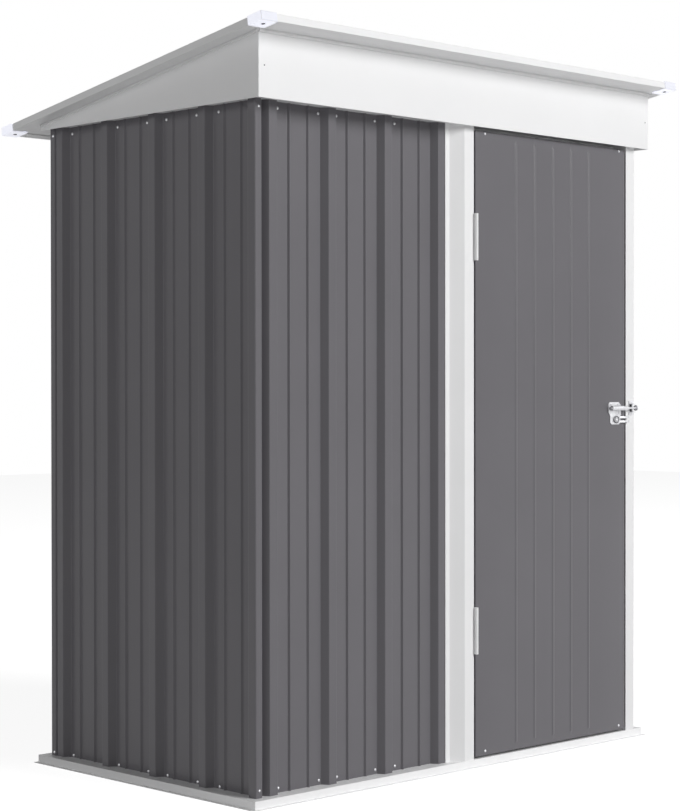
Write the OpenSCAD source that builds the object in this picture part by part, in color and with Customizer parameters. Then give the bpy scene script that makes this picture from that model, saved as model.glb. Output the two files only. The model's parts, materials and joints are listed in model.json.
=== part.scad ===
// Lean-to metal tool shed: a steel base frame, ribbed wall sheets, a raised front door,
// a fascia and two gable panels under a thin roof that falls to the rear.
// Millimetres. +Z up, the door faces -Y. The origin is on the ground under the middle of the roof.

/* [Walls] */
// Width of the shed across the ribs of the two side walls
wall_w = 1380; // [1200:10:1800]
// Depth of the shed across the ribs of the front and back walls
wall_d = 798; // [660:2:1100]
// Top of the wall sheets above the ground
wall_top = 1633; // [1400:1:2000]
// Thickness of every formed sheet
sheet = 1.5; // [1:0.1:2]

/* [Ribs] */
// Distance from one rib to the next
rib_pitch = 188.7; // [155:0.1:230]
// Depth of a rib, from its top to the pan
rib_depth = 18; // [12:1:22]
// Width of the flat top of a rib
rib_top = 24; // [16:1:30]
// Width of each sloping side of a rib
rib_run = 12; // [8:1:15]
// Distance between the two small beads in each pan
bead_gap = 60; // [40:1:72]
// Width of a bead
bead_w = 10; // [8:1:12]
// Height of a bead
bead_h = 3.5; // [2:0.5:5]
// Number of ribs on the front wall
front_ribs = 4; // [3:1:4]
// Flat between the front corner post and the first rib
front_lead = 1.7; // [1:0.1:6]
// How far the flat top of the last front rib runs on under the door jamb
front_tail = 12; // [8:0.5:13]

/* [Corner posts] */
// Front flange of the front corner post
corner_front = 17; // [12:1:20]
// Side flange of the corner posts
corner_side = 24; // [16:1:30]
// Side flange of the rear corner posts, next to the last side rib
corner_rear = 18; // [12:1:22]
// Width of the shallow groove between that flange and the rib
rear_groove = 8.5; // [5:0.5:12]

/* [Base frame] */
// Height of the ledge that the walls stand on
base_h = 21; // [16:1:30]
// How far the base face stands outside the ribs
base_out = 24; // [20:1:30]
// How far the bottom lip reaches past the base face
base_lip = 8; // [4:1:12]
// Height of the upstand behind the wall sheets
base_upstand = 50; // [40:1:60]
// Thickness of the base frame sheet
base_t = 2; // [1.5:0.5:3]

/* [Doorway] */
// How far the door, the jamb and the corner post stand in front of the ribs
door_out = 22.6; // [18:0.2:24]
// Width of the jamb flange on the last front rib
jamb_flange = 15; // [13.5:0.1:20]
// Sideways run of the sloping jamb face
jamb_run = 34; // [28:0.1:38]
// Width of the flat front of the jamb
jamb_face = 35.2; // [30:0.1:43]
// Width of the flat front of the corner post beside the door
post_face = 35.8; // [30:0.1:43]
// Sideways run of the bevel at the outer edge of that post
post_bevel = 9; // [6:1:12]

/* [Door] */
// Depth of the door tray
door_depth = 20; // [16:1:24]
// Gap on the hinge side
hinge_gap = 5; // [5:0.5:8]
// Gap on the latch side
latch_gap = 5.6; // [5.6:0.2:8]
// Gap over the base ledge
sill_gap = 5; // [5:0.5:8]
// Gap under the edge of the fascia
head_gap = 7; // [6:0.5:10]
// Number of raised beads on the door
door_beads = 5; // [3:1:5]
// Distance between the door beads
door_bead_pitch = 74; // [60:1:89]
// Width of a door bead
door_bead_w = 9; // [6:0.5:12]
// Height of a door bead
door_bead_h = 2; // [1:0.5:3]
// Distance from the ends of a door bead to the ends of the door
door_bead_end = 20; // [15:1:60]
// Height of the two stiffening channels inside the door
brace_h = 36; // [28:1:44]

/* [Hinges] */
// Radius of the hinge barrels
barrel_r = 5; // [4:0.25:5.5]
// Radius of the hinge pins
pin_r = 2.5; // [2:0.25:3]
// Running clearance of the hinge pins
pin_fit = 0.05; // [0.02:0.01:0.1]
// Length of a hinge
hinge_len = 119; // [90:1:145]
// Distance from the top of the door down to the middle of the upper hinge
hinge_down = 270; // [180:1:380]
// Distance from the bottom of the door up to the middle of the lower hinge
hinge_up = 323; // [180:1:420]

/* [Latch] */
// Height of the bolt above the ground
bolt_z = 911; // [750:1:1100]
// Radius of the bolt
bolt_r = 3; // [2.5:0.25:4]
// Running clearance of the bolt
bolt_fit = 0.05; // [0.02:0.01:0.1]
// How far the bolt axis stands in front of the door
bolt_out = 12; // [10:0.5:14]
// Radius of the knob at the end of the bolt
knob_r = 8; // [6:0.5:9]
// Width of the latch plate
plate_w = 54; // [45:1:64]

/* [Roof] */
// Fall of the roof to the rear, in degrees
roof_fall = 9.48; // [7:0.01:10.5]
// How far the fascia stands in front of the ribs
fascia_out = 43.2; // [38:0.1:60]
// How far the gable panels stand outside the ribs
gable_out = 27.3; // [20:0.1:40]
// Height of the roof sheets over the rear wall
rear_lift = 7.8; // [5:0.1:30]
// Height of the soffit over the lower edge of the fascia
soffit_up = 6; // [4:1:10]
// Roof overhang in front of the fascia
eave_front = 60.7; // [50:0.1:80]
// Roof overhang behind the rear ribs
eave_rear = 109; // [85:1:130]
// Roof overhang outside the gable panels
eave_side = 43.5; // [38:0.1:60]
// Height of the trim round the edge of the roof
trim_h = 18; // [15:0.5:24]
// Width of the trim flange under the roof
trim_flange = 30; // [24:1:34]
// Height of the ribs on the roof sheets
roof_rib_h = 9; // [6:1:10]
// Side of the square corner caps
cap_side = 46; // [40:1:54]
// Thickness of the corner caps
cap_t = 2; // [1.5:0.5:3]
// Height of the rolled lip along the top of the fascia and the gables
lip_h = 6.5; // [3:0.5:8]
// How far that lip stands out
lip_out = 5; // [3:0.5:8]

/* [Frame] */
// Height of the rails along the wall tops
rail_h = 32; // [24:1:40]
// Depth of the rails behind the wall sheets
rail_d = 25; // [18:1:30]
// Middle height of the braces half way up the walls
brace_z = 820; // [700:10:950]

/* [Hidden] */
steel_grey = [0.42, 0.41, 0.43];
white = [0.93, 0.93, 0.93];
zinc = [0.75, 0.76, 0.78];
cap_blue = [0.86, 0.87, 0.95];
eps = 1;

// Plan: the roof with its caps is centred on the origin
roof_w = wall_w + 2*gable_out + 2*eave_side;
roof_plan = wall_d + fascia_out + eave_front + eave_rear;
cap_lead = cap_t*cos(roof_fall) + (sheet + cap_t)*sin(roof_fall);
cap_lag = cap_t*cos(roof_fall) + (trim_h - sheet + cap_t)*sin(roof_fall);
roof_y0 = (cap_lead - roof_plan - cap_lag)/2;
y_front = roof_y0 + fascia_out + eave_front;
y_rear = y_front + wall_d;
x_left = -wall_w/2;
x_right = wall_w/2;
pan_in = rib_depth + sheet;
wall_h = wall_top - base_h;

// Roof: its sheets lie on what carries them with a small clearance
fall_k = tan(roof_fall);
seat_gap = 0.02;
roof_under0 = wall_top + rear_lift + (y_rear - roof_y0)*fall_k;
fascia_z0 = wall_top - soffit_up;
fascia_y = y_front - fascia_out;
roof_len = roof_plan/cos(roof_fall);

// Front wall and doorway, from the left corner
front_start = corner_front + rib_run + 0.5;
front_first = front_start + front_lead + rib_run + rib_top/2;
last_rib = front_first + (front_ribs - 1)*rib_pitch;
jamb_x = last_rib + rib_top/2;
jamb_out = sheet + seat_gap;
side_start = corner_side + rib_run + 4;
side_first = corner_rear + rear_groove + rib_top/2;
jamb_face_x0 = x_left + jamb_x + jamb_flange + jamb_run;
jamb_face_x1 = jamb_face_x0 + jamb_face;
post_x1 = x_right - post_bevel;
post_x0 = post_x1 - post_face;

// Door
door_y = y_front - door_out;
door_x0 = jamb_face_x1 + hinge_gap;
door_x1 = post_x0 - latch_gap;
door_w = door_x1 - door_x0;
door_z0 = base_h + sill_gap;
door_z1 = fascia_z0 - head_gap;
door_h = door_z1 - door_z0;
axis_x = jamb_face_x1 + hinge_gap/2;
axis_y = door_y - barrel_r - 0.5;
bolt_y = door_y - bolt_out;
hinge_hi = door_z1 - hinge_down;
hinge_lo = door_z0 + hinge_up;

// ---- Formed sheet -------------------------------------------------------------------------------
// A sheet is drawn as the line of its outer face; its back is the same line set back with mitred
// bends, to the left of the direction of the line.
function normal(a, b) = let (u = (b - a)/norm(b - a)) [-u[1], u[0]];
function set_back(p, t) =
    [for (i = [0:len(p) - 1])
        let (n0 = i == 0 ? normal(p[0], p[1]) : normal(p[i - 1], p[i]),
             n1 = i == len(p) - 1 ? n0 : normal(p[i], p[i + 1]),
             m = n0 + n1)
        p[i] + m*2*t/(m*m)];
function reversed(l) = [for (i = [len(l) - 1:-1:0]) l[i]];
function join(lists) = [for (l = lists) for (p = l) p];
module formed(line, t = sheet) { polygon(concat(line, reversed(set_back(line, t)))); }
module formed_wall(line) { translate([0, 0, base_h]) linear_extrude(wall_h) formed(line); }

// A raised form across a wall, as points [distance along the wall, depth behind the rib tops]
function form(c, top, run, foot, crest) =
    [[c - top/2 - run, foot], [c - top/2, crest], [c + top/2, crest], [c + top/2 + run, foot]];
bead_top = 2;
function rib(c) = form(c, rib_top, rib_run, rib_depth, 0);
function bead(c) = form(c, bead_top, (bead_w - bead_top)/2, rib_depth, rib_depth - bead_h);

// Every rib and bead of a pattern that starts with a rib at first, between two ends of a sheet
function forms(first, from, to) =
    [for (k = [-1:12]) for (step = [0, (rib_pitch - bead_gap)/2, (rib_pitch + bead_gap)/2])
        let (c = first + k*rib_pitch + step,
             half = step == 0 ? rib_top/2 + rib_run : bead_w/2)
        if (c - half > from && c + half < to) step == 0 ? rib(c) : bead(c)];
function sheet_line(first, from, to) =
    concat([[from, rib_depth]], join(forms(first, from, to)), [[to, rib_depth]]);

// ---- The four walls: local x runs along a wall, local y goes into the shed ------------------------
module on_front() { translate([x_left, y_front, 0]) children(); }
module on_rear() { translate([x_right, y_rear, 0]) rotate([0, 0, 180]) children(); }
module on_left() { translate([x_left, y_rear, 0]) rotate([0, 0, -90]) children(); }
module on_right() { mirror([1, 0, 0]) on_left() children(); }

// ---- Base frame -----------------------------------------------------------------------------------
// Section of a rail, as [depth behind the rib tops, height]
module base_section() {
    outer = -base_out - base_lip;
    inner = pan_in + base_t + base_lip;
    polygon([[outer, 0], [outer, base_t], [-base_out, base_t], [-base_out, base_h],
             [pan_in, base_h], [pan_in, base_upstand], [pan_in + base_t, base_upstand],
             [pan_in + base_t, base_t], [inner, base_t], [inner, 0], [pan_in, 0],
             [pan_in, base_h - base_t], [base_t - base_out, base_h - base_t],
             [base_t - base_out, 0]]);
}
// A rail for a wall of this length, mitred at both ends
module base_rail(length) {
    out = base_out + base_lip;
    deep = pan_in + base_t + base_lip;
    color(white) intersection() {
        translate([-out - eps, 0, 0]) rotate([90, 0, 90])
            linear_extrude(length + 2*out + 2*eps) base_section();
        translate([0, 0, -eps]) linear_extrude(base_upstand + 2*eps)
            polygon([[-out, -out], [length + out, -out], [length - deep, deep], [deep, deep]]);
    }
}
module base_front_rail() { on_front() base_rail(wall_w); }
module base_rear_rail() { on_rear() base_rail(wall_w); }
module base_left_rail() { on_left() base_rail(wall_d); }
module base_right_rail() { on_right() base_rail(wall_d); }

// ---- Corner posts, jamb and door post ----------------------------------------------------------------
// The front left post, from the start of the side sheet round to the start of the front sheet
module corner_post_front_left() {
    color(steel_grey) translate([x_left, y_front, 0]) formed_wall(
        reversed([[front_start, rib_depth], [corner_front + rib_run, rib_depth], [corner_front, 0],
                  [0, 0], [0, corner_side], [rib_depth, corner_side + rib_run],
                  [rib_depth, side_start]]));
}

// A rear post: its side flange ends half way down the groove beside the last side rib
groove_depth = rib_depth*rear_groove/2/rib_run;
module rear_post() {
    color(steel_grey) formed_wall(
        [[groove_depth, corner_rear + rear_groove/2], [0, corner_rear], [0, 0],
         [corner_side, 0], [corner_side + rib_run, rib_depth], [side_start, rib_depth]]);
}
module corner_post_rear_left() { translate([x_left, y_rear, 0]) mirror([0, 1, 0]) rear_post(); }
module corner_post_rear_right() { mirror([1, 0, 0]) corner_post_rear_left(); }

// The jamb lies on the last rib, steps out to the front of the door and returns beside it
module door_jamb() {
    color(white) translate([0, y_front, 0]) formed_wall(
        [[x_left + jamb_x, -jamb_out], [x_left + jamb_x + jamb_flange, -jamb_out],
         [jamb_face_x0, -door_out], [jamb_face_x1, -door_out], [jamb_face_x1, rib_depth]]);
}

// The post beside the latch turns the front right corner and meets the side sheet; the keeper's
// slot goes through its front
module door_corner_post() {
    color(white) difference() {
        translate([0, y_front, 0]) formed_wall(
            [[post_x0, rib_depth], [post_x0, -door_out], [post_x1, -door_out],
             [x_right, -door_out + post_bevel], [x_right, corner_side],
             [x_right - rib_depth, corner_side + rib_run], [x_right - rib_depth, side_start]]);
        translate([slot_x0, door_y - eps, bolt_z - slot_h/2]) cube([slot_w, sheet + 2*eps, slot_h]);
    }
}

// ---- Wall sheets ----------------------------------------------------------------------------------
// The front sheet ends in the flat top of its last rib, under the jamb
module front_wall() {
    last_foot = last_rib - rib_top/2 - rib_run;
    color(steel_grey) on_front() formed_wall(concat(
        sheet_line(front_first, front_start, last_foot),
        [[last_rib - rib_top/2, 0], [jamb_x + front_tail, 0]]));
}

// A side sheet starts half way down the groove beside the rear post
module side_sheet() {
    start = side_first + rib_top/2 + rib_run;
    line = sheet_line(side_first, start, wall_d - side_start);
    color(steel_grey) formed_wall(concat(
        [[corner_rear + rear_groove/2, groove_depth], [side_first - rib_top/2, 0],
         [side_first + rib_top/2, 0]], line));
}
module left_wall() { on_left() side_sheet(); }
module right_wall() { on_right() side_sheet(); }

// The back wall is two sheets with a seam beside its middle rib, or in its middle pan
rear_steps = floor((wall_w - 2*side_start - rib_top - 2*rib_run)/rib_pitch);
rear_first = (wall_w - rear_steps*rib_pitch)/2;
rear_seam = wall_w/2 + (rear_steps % 2 == 0 ? rib_top/2 + rib_run + 4 : 0);
module back_wall_right() {
    color(steel_grey) on_rear() formed_wall(sheet_line(rear_first, side_start, rear_seam));
}
module back_wall_left() {
    color(steel_grey) on_rear() formed_wall(sheet_line(rear_first, rear_seam, wall_w - side_start));
}

// ---- Rails behind the wall sheets ------------------------------------------------------------------
// A channel with its back against the pans and its mouth to the inside, from one end to the other
module channel(from, to, z0, h) {
    color(white) translate([from, pan_in, z0]) rotate([90, 0, 90]) linear_extrude(to - from)
        polygon([[0, 0], [rail_d, 0], [rail_d, sheet], [sheet, sheet], [sheet, h - sheet],
                 [rail_d, h - sheet], [rail_d, h], [0, h]]);
}
rail_end = pan_in;
side_rail_end = pan_in + rail_d;
module top_rail_front() { on_front() channel(rail_end, wall_w - rail_end, wall_top - rail_h, rail_h); }
// The rear rail has a fin up to the roof sheets
module top_rail_rear() {
    on_rear() channel(rail_end, wall_w - rail_end, wall_top - rail_h, rail_h);
    color(white) on_rear() translate([side_rail_end, pan_in, wall_top - rail_h])
        cube([wall_w - 2*side_rail_end, sheet, under(y_rear - pan_in) - wall_top + rail_h]);
}
module top_rail_left() {
    on_left() channel(side_rail_end, wall_d - side_rail_end, wall_top - rail_h, rail_h);
}
module top_rail_right() { mirror([1, 0, 0]) top_rail_left(); }
module mid_rail_rear() { on_rear() channel(rail_end, wall_w - rail_end, brace_z - rail_h/2, rail_h); }
module mid_rail_left() {
    on_left() channel(side_rail_end, wall_d - side_start, brace_z - rail_h/2, rail_h);
}
module mid_rail_right() { mirror([1, 0, 0]) mid_rail_left(); }

// ---- Fascia and gables --------------------------------------------------------------------------------
// The height that carries the roof sheets at a place along y
function under(y) = roof_under0 - seat_gap - (y - roof_y0)*fall_k;
fascia_flange = 25;
soffit_y1 = y_front + side_rail_end;

// A section drawn as [y, z], run across the shed
module across(width) {
    translate([-width/2, 0, 0]) rotate([90, 0, 90]) linear_extrude(width) children();
}

// The fascia: a front plate, a soffit back to the front rail, and a sloping flange under the roof
module front_fascia() {
    color(white) union() {
        across(wall_w + 2*gable_out)
            polygon([[fascia_y, fascia_z0], [fascia_y, under(fascia_y) - lip_h],
                     [fascia_y - lip_out, under(fascia_y) - lip_h],
                     [fascia_y - lip_out, under(fascia_y - lip_out)],
                     [fascia_y + sheet, under(fascia_y + sheet)], [fascia_y + sheet, fascia_z0]]);
        across(wall_w + 2*gable_out - 2*sheet)
            polygon([[fascia_y, under(fascia_y) - sheet], [fascia_y, under(fascia_y)],
                     [fascia_y + fascia_flange, under(fascia_y + fascia_flange)],
                     [fascia_y + fascia_flange, under(fascia_y + fascia_flange) - sheet]]);
        across(wall_w + 2*gable_out - 2*sheet)
            polygon([[fascia_y, wall_top], [soffit_y1, wall_top],
                     [soffit_y1, wall_top + sheet], [fascia_y, wall_top + sheet]]);
    }
}

// A gable: a tapering side plate, with a soffit over the side rail
module gable_left() {
    y0 = fascia_y + sheet;
    color(white) union() {
        translate([x_left - gable_out, 0, 0]) rotate([90, 0, 90]) linear_extrude(sheet)
            polygon([[y0, under(y0)], [y_rear, under(y_rear)], [y_rear, fascia_z0], [y0, fascia_z0]]);
        translate([x_left - gable_out - lip_out, 0, 0]) rotate([90, 0, 90])
            linear_extrude(lip_out + sheet)
                polygon([[y0, under(y0)], [y_rear, under(y_rear)],
                         [y_rear, under(y_rear) - lip_h], [y0, under(y0) - lip_h]]);
        translate([x_left - gable_out, soffit_y1, wall_top])
            cube([gable_out + side_rail_end, y_rear - soffit_y1, sheet]);
    }
}
module gable_right() { mirror([1, 0, 0]) gable_left(); }

// ---- Roof, drawn flat from its front edge and tilted -----------------------------------------------------
module on_roof() {
    translate([0, roof_y0, roof_under0]) rotate([-roof_fall, 0, 0]) children();
}
// Trim: local z runs from the under flange to the top of the face
trim_w0 = -sheet;
trim_w1 = trim_h - sheet;
roof_ribs = 8;

// A roof sheet with low ribs that run down the slope, closed flat below
roof_pitch = (roof_w - 2*trim_flange)/roof_ribs;
module roof_sheet(from, to) {
    ribs = join([for (i = [0:roof_ribs - 1])
        let (c = (i + 0.5 - roof_ribs/2)*roof_pitch)
        if (c > from && c < to) form(c, rib_top, rib_run/2, 0, -roof_rib_h)]);
    line = concat([[from, 0]], ribs, [[to, 0]]);
    end = sheet + seat_gap;
    color(white) on_roof() translate([0, roof_len - end, sheet]) rotate([90, 0, 0])
        linear_extrude(roof_len - 2*end) mirror([0, 1]) {
            formed(line);
            translate([from, 0]) square([to - from, sheet]);
        }
}
module roof_panel_left() { roof_sheet(-roof_w/2 + sheet + seat_gap, 0); }
module roof_panel_right() { roof_sheet(0, roof_w/2 - sheet - seat_gap); }

// Trim section: a face with a flange under the sheets, [distance in from the edge, height]
module trim_section() {
    polygon([[0, trim_w0], [0, trim_w1], [trim_flange/2, trim_w1], [trim_flange/2, trim_w1 - sheet],
             [sheet, trim_w1 - sheet], [sheet, -seat_gap], [trim_flange, -seat_gap],
             [trim_flange, trim_w0]]);
}
module trim_bar(length) {
    color(white) intersection() {
        rotate([90, 0, 90]) linear_extrude(length) trim_section();
        translate([0, 0, trim_w0 - eps]) linear_extrude(trim_h + 2*eps)
            polygon([[0, 0], [length, 0], [length - trim_flange - eps, trim_flange + eps],
                     [trim_flange + eps, trim_flange + eps]]);
    }
}
module roof_trim_front() { on_roof() translate([-roof_w/2, 0, 0]) trim_bar(roof_w); }
module roof_trim_rear() {
    on_roof() translate([roof_w/2, roof_len, 0]) rotate([0, 0, 180]) trim_bar(roof_w);
}
module roof_trim_left() {
    on_roof() translate([-roof_w/2, roof_len, 0]) rotate([0, 0, -90]) trim_bar(roof_len);
}
module roof_trim_right() { mirror([1, 0, 0]) roof_trim_left(); }

// A corner cap: a shallow square shell round the trim corner
module cap() {
    side = cap_side + cap_t;
    color(cap_blue) translate([-cap_t, -cap_t, trim_w0 - cap_t]) difference() {
        cube([side, side, trim_h + 2*cap_t]);
        translate([cap_t - seat_gap, cap_t - seat_gap, cap_t - seat_gap])
            cube([side, side, trim_h + 2*seat_gap]);
    }
}
module roof_cap_front_left() { on_roof() translate([-roof_w/2, 0, 0]) cap(); }
module roof_cap_front_right() { mirror([1, 0, 0]) roof_cap_front_left(); }
module roof_cap_rear_left() { on_roof() translate([-roof_w/2, roof_len, 0]) mirror([0, 1, 0]) cap(); }
module roof_cap_rear_right() { mirror([1, 0, 0]) roof_cap_rear_left(); }

// A rafter under the seam of the roof sheets, from the fascia flange to the rear rail it rests on
rafter_h = 30;
module roof_rafter() {
    y0 = fascia_y + fascia_flange;
    y1 = y_rear - pan_in - sheet;
    y_low = roof_y0 + (roof_under0 - rafter_h - wall_top)/fall_k;
    color(white) across(rail_d)
        polygon([[y0, under(y0)], [y1, under(y1)], [y1, wall_top], [y_low, wall_top],
                 [y0, wall_top + (y_low - y0)*fall_k]]);
}

// ---- Door ----------------------------------------------------------------------------------------------
// A tray: a flat front skin with its four edges folded to the rear, and raised beads
module door_panel() {
    color(steel_grey) {
        translate([door_x0, door_y, door_z0]) difference() {
            cube([door_w, door_depth, door_h]);
            translate([sheet, sheet, sheet])
                cube([door_w - 2*sheet, door_depth, door_h - 2*sheet]);
        }
        for (i = [0:door_beads - 1])
            translate([(door_x0 + door_x1)/2 + (i - (door_beads - 1)/2)*door_bead_pitch, door_y,
                       door_z0 + door_bead_end])
                linear_extrude(door_h - 2*door_bead_end)
                    polygon([[-door_bead_w/2, 0], [-bead_top/2, -door_bead_h],
                             [bead_top/2, -door_bead_h], [door_bead_w/2, 0]]);
    }
}
// A stiffening channel across the inside of the tray
module door_brace(z0) {
    color(white) translate([door_x0 + sheet, door_y + sheet, z0]) rotate([90, 0, 90])
        linear_extrude(door_w - 2*sheet)
            polygon([[0, 0], [door_depth - 2*sheet, 0], [door_depth - 2*sheet, sheet],
                     [sheet, sheet], [sheet, brace_h - sheet],
                     [door_depth - 2*sheet, brace_h - sheet], [door_depth - 2*sheet, brace_h],
                     [0, brace_h]]);
}
module door_brace_top() { door_brace(door_z1 - sheet - brace_h); }
module door_brace_bottom() { door_brace(door_z0 + sheet); }

// ---- Hinges -------------------------------------------------------------------------------------------
leaf_t = 1.2;
leaf_d = 16;
knuckle_gap = 0.3;
knuckle = hinge_len/3;
// The fixed half: two outer knuckles on the pin, and a leaf on the jamb
module hinge_fixed(zm) {
    z0 = zm - hinge_len/2;
    color(white) union() {
        translate([axis_x, axis_y, z0]) cylinder(r = barrel_r, h = knuckle, $fn = 48);
        translate([axis_x, axis_y, z0 + 2*knuckle]) cylinder(r = barrel_r, h = knuckle, $fn = 48);
        translate([axis_x, axis_y, z0]) cylinder(r = pin_r, h = hinge_len, $fn = 48);
        translate([jamb_face_x1, door_y, z0]) cube([leaf_t, leaf_d, hinge_len]);
        for (k = [0, 2])
            translate([jamb_face_x1, axis_y, z0 + k*knuckle])
                cube([leaf_t, door_y - axis_y + leaf_d, knuckle]);
    }
}
// The moving half: the middle knuckle, bored for the pin, and a leaf on the edge of the door
module hinge_moving(zm) {
    z0 = zm - hinge_len/2;
    zk = z0 + knuckle + knuckle_gap;
    hk = knuckle - 2*knuckle_gap;
    color(white) difference() {
        union() {
            translate([axis_x, axis_y, zk]) cylinder(r = barrel_r, h = hk, $fn = 48);
            translate([door_x0 - leaf_t, axis_y, zk]) cube([leaf_t, door_y - axis_y + leaf_d, hk]);
            translate([door_x0 - leaf_t, door_y, z0]) cube([leaf_t, leaf_d, hinge_len]);
        }
        translate([axis_x, axis_y, zk - eps])
            cylinder(r = pin_r + pin_fit, h = hk + 2*eps, $fn = 48);
    }
}
module hinge_upper_fixed() { hinge_fixed(hinge_hi); }
module hinge_upper_moving() { hinge_moving(hinge_hi); }
module hinge_lower_fixed() { hinge_fixed(hinge_lo); }
module hinge_lower_moving() { hinge_moving(hinge_lo); }

// ---- Latch --------------------------------------------------------------------------------------------
plate_t = 2;
plate_x1 = door_x1 - 18;
plate_x0 = plate_x1 - plate_w;
plate_top = bolt_z + 16.5;
plate_low = bolt_z - 44.5;
barrel_x0 = plate_x0 + 1;
barrel_x1 = door_x1 - 5;
barrel_wall = 3.5;
finger_out = 5.5;
finger_t = 1.5;
finger_h = 5.5;
finger_over = 7;
// The plate tapers under the barrel, with two fingers that reach over the post
module latch_plate() {
    barrel = bolt_r + bolt_fit + barrel_wall;
    lobe_x0 = plate_x0 + 8;
    lobe_x1 = plate_x1 - 3;
    face = door_y - plate_t;
    color(zinc) difference() {
        union() {
            translate([0, door_y, 0]) rotate([90, 0, 0]) linear_extrude(plate_t)
                polygon([[plate_x0, bolt_z - 10], [plate_x0, plate_top - 5],
                         [plate_x0 + 5, plate_top], [plate_x1 - 9, plate_top],
                         [plate_x1, plate_top - 9], [plate_x1, bolt_z - 18],
                         [lobe_x1, bolt_z - 22], [lobe_x1, plate_low + 6],
                         [lobe_x1 - 6, plate_low], [lobe_x0 + 5, plate_low],
                         [lobe_x0, plate_low + 5], [lobe_x0, bolt_z - 22]]);
            translate([barrel_x0, bolt_y, bolt_z]) rotate([0, 90, 0])
                cylinder(r = barrel, h = barrel_x1 - barrel_x0, $fn = 48);
            translate([barrel_x0, bolt_y, bolt_z - barrel/2])
                cube([plate_x1 - barrel_x0, face - bolt_y + 0.5, barrel]);
            for (dz = [5, 16.5])
                translate([0, 0, plate_low + dz]) linear_extrude(finger_h)
                    polygon([[lobe_x1 - 8, face + 0.5], [lobe_x1 - 8, face - 0.5],
                             [door_x1 - 6, door_y - finger_out - finger_t],
                             [post_x0 + finger_over, door_y - finger_out - finger_t],
                             [post_x0 + finger_over, door_y - finger_out],
                             [door_x1 - 5, door_y - finger_out], [lobe_x1, face + 0.5]]);
        }
        translate([barrel_x0 - eps, bolt_y, bolt_z]) rotate([0, 90, 0])
            cylinder(r = bolt_r + bolt_fit, h = barrel_x1 - barrel_x0 + 2*eps, $fn = 48);
    }
}

// The bolt reaches over the post and ends in a knob
knob_len = 4;
module latch_bolt() {
    x0 = barrel_x0 - 2;
    x1 = post_x1 - 4;
    color(zinc) translate([0, bolt_y, bolt_z]) rotate([0, 90, 0]) union() {
        translate([0, 0, x0]) cylinder(r = bolt_r, h = x1 - x0, $fn = 48);
        translate([0, 0, x1 - knob_len]) cylinder(r = knob_r, h = knob_len, $fn = 48);
    }
}

// The keeper: a slotted plate on the post with a lug over the bolt and one under it
lug_t = 2.5;
keeper_w = 20;
keeper_x0 = post_x1 - keeper_w - 4;
slot_x0 = keeper_x0 + 3;
slot_w = 11;
slot_h = 2*knob_r + 3;
module latch_keeper() {
    reach = bolt_out + 2;
    color(zinc) translate([0, door_y, bolt_z]) union() {
        difference() {
            translate([keeper_x0, -sheet, -20]) cube([keeper_w, sheet, 40]);
            translate([slot_x0, -2*sheet, -slot_h/2]) cube([slot_w, 3*sheet, slot_h]);
        }
        for (z = [slot_h/2, -slot_h/2 - lug_t])
            translate([slot_x0, -reach, z]) cube([slot_w, reach, lug_t]);
    }
}

base_front_rail();
base_rear_rail();
base_left_rail();
base_right_rail();
corner_post_front_left();
corner_post_rear_left();
corner_post_rear_right();
door_jamb();
door_corner_post();
front_wall();
left_wall();
right_wall();
back_wall_left();
back_wall_right();
top_rail_front();
top_rail_rear();
top_rail_left();
top_rail_right();
mid_rail_rear();
mid_rail_left();
mid_rail_right();
front_fascia();
gable_left();
gable_right();
roof_panel_left();
roof_panel_right();
roof_rafter();
roof_trim_front();
roof_trim_rear();
roof_trim_left();
roof_trim_right();
roof_cap_front_left();
roof_cap_front_right();
roof_cap_rear_left();
roof_cap_rear_right();
door_panel();
door_brace_top();
door_brace_bottom();
hinge_upper_fixed();
hinge_upper_moving();
hinge_lower_fixed();
hinge_lower_moving();
latch_plate();
latch_bolt();
latch_keeper();
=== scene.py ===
# %% [markdown]
# # A lean-to tool shed in folded steel
# The shed is a box of ribbed grey sheets in a white frame, with one door and a thin roof that falls to the rear.
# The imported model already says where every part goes. This file keeps those places, and gives the parts what a
# factory gives them: bends with a radius, rolled ribs, paint, plated steel and screws.

# %% Load the frame
import json
from math import cos, pi, radians, sin, tan
import bmesh
import bpy
import numpy as np
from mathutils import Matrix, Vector


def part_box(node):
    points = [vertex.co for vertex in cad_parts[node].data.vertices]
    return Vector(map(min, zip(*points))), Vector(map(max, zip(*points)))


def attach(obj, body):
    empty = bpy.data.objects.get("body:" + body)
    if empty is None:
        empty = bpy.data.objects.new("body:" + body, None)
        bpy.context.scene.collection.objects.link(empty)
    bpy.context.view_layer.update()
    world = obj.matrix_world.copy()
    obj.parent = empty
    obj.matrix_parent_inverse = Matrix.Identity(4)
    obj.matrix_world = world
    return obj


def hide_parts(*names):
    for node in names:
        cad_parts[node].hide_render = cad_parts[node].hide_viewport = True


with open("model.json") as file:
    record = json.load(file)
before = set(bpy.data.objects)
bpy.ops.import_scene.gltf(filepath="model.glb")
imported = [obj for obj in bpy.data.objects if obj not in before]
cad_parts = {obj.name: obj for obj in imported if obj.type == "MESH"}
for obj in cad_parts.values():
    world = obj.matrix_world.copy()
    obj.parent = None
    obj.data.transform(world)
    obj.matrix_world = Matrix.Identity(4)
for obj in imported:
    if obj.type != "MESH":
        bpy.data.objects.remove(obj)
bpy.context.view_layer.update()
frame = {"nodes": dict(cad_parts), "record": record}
node = frame["nodes"]
print("parts in the frame:", len(node))

# %% [markdown]
# ## The camera
# It stands low and looks at the front left corner, so two walls show at once. A long lens keeps the upright edges
# nearly parallel. The small shift moves the picture without turning the camera, so uprights stay upright.

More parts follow.
